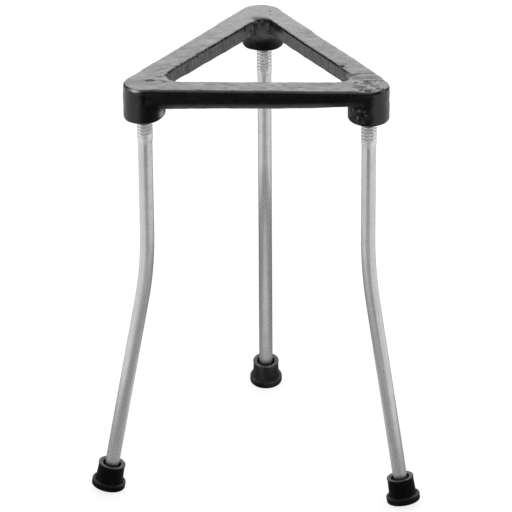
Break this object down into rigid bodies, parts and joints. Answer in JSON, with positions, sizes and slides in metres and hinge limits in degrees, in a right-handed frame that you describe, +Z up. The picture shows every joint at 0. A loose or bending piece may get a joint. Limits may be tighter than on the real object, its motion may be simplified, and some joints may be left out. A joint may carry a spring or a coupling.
{
  "type": "laboratory tripod stand",
  "caption": "Triangular cast-iron laboratory tripod stand on splayed threaded steel rod legs with rubber feet, for holding a gauze or vessel above a burner.",
  "frame": {"origin": "on the bench, directly under the middle of the triangular top, where a burner stands", "axes": "+Z up, out of the flat top of the casting; the front bar lies along X and faces -Y; the back boss and its leg are on +Y"},
  "size_m": [0.1728, 0.1507, 0.231],
  "materials": {
    "cast_enamel": "rough casting under gloss black enamel",
    "plated_rod": "drawn rod, bright zinc plated",
    "foot_rubber": "moulded black rubber, satin"
  },
  "bodies": {
    "root": {"triangle_top": "cast_enamel", "leg_left": "plated_rod", "leg_right": "plated_rod", "leg_back": "plated_rod", "foot_left": "foot_rubber", "foot_right": "foot_rubber", "foot_back": "foot_rubber"}
  },
  "joints": []
}
